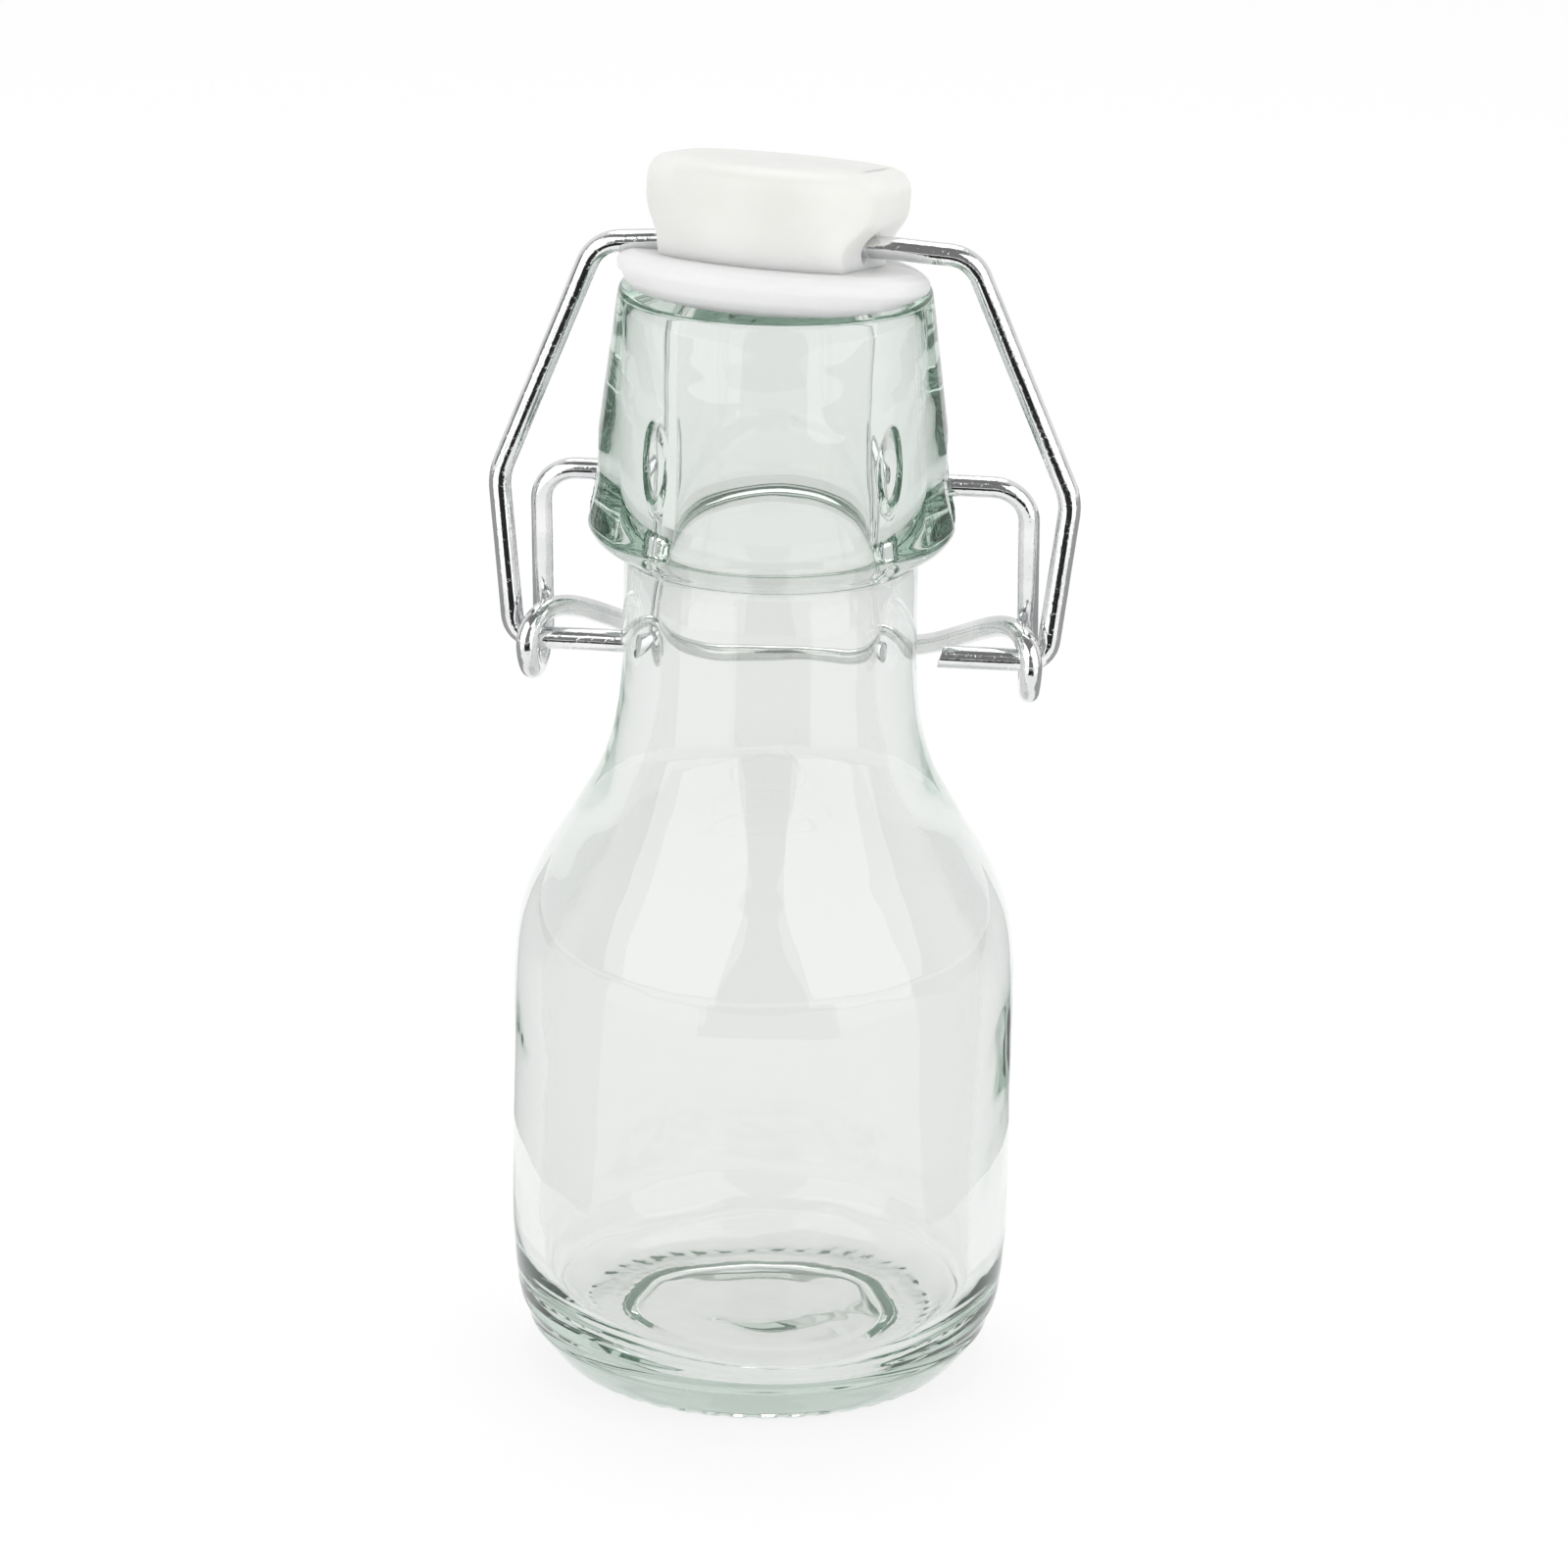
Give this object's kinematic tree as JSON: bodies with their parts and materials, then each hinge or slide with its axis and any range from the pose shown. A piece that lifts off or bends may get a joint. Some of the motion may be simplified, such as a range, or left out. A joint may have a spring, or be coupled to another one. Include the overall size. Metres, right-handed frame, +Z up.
{
  "type": "swing-top bottle",
  "caption": "Small clear-glass swing-top bottle whose wire lever and bail clamp a plastic stopper and soft washer onto its lip.",
  "frame": {"origin": "centre of the bottle's base, on the surface it stands on", "axes": "+Z up along the bottle's axis; X along the closure's pivots; the lever's cross bar is behind the neck at +Y, so -Y is the front"},
  "size_m": [0.0496, 0.042, 0.1031],
  "materials": {
    "clear_glass": "clear pressed and blown soda-lime glass with a faint green tint in its thick parts",
    "plated_wire": "bright zinc-plated drawn wire with fine draw marks",
    "white_plastic": "moulded natural white polyethylene, soft gloss, slightly translucent",
    "clear_silicone": "milky translucent soft washer"
  },
  "bodies": {
    "bottle": {"glass_bottle": "clear_glass"},
    "lever": {"lever_wire": "plated_wire"},
    "bail": {"bail_wire": "plated_wire"},
    "closure": {"stopper": "white_plastic", "sealing_washer": "clear_silicone"}
  },
  "joints": [
    {"name": "lever_pivot", "type": "hinge", "parent": "bottle", "child": "lever", "pos_m": [0, 0, 0.0771], "axis": [1, 0, 0], "range_deg": [0, 115]},
    {"name": "bail_pivot", "type": "hinge", "parent": "lever", "child": "bail", "pos_m": [0, 0, 0.0623], "axis": [1, 0, 0], "range_deg": [-69.1, 0]},
    {"name": "stopper_swivel", "type": "hinge", "parent": "bail", "child": "closure", "pos_m": [0, 0, 0.0974], "axis": [1, 0, 0], "range_deg": [-46.1, 0]}
  ],
  "couplings": [
    {"joint": "bail_pivot", "follows": "lever_pivot", "ratio": -0.6},
    {"joint": "stopper_swivel", "follows": "lever_pivot", "ratio": -0.4}
  ]
}
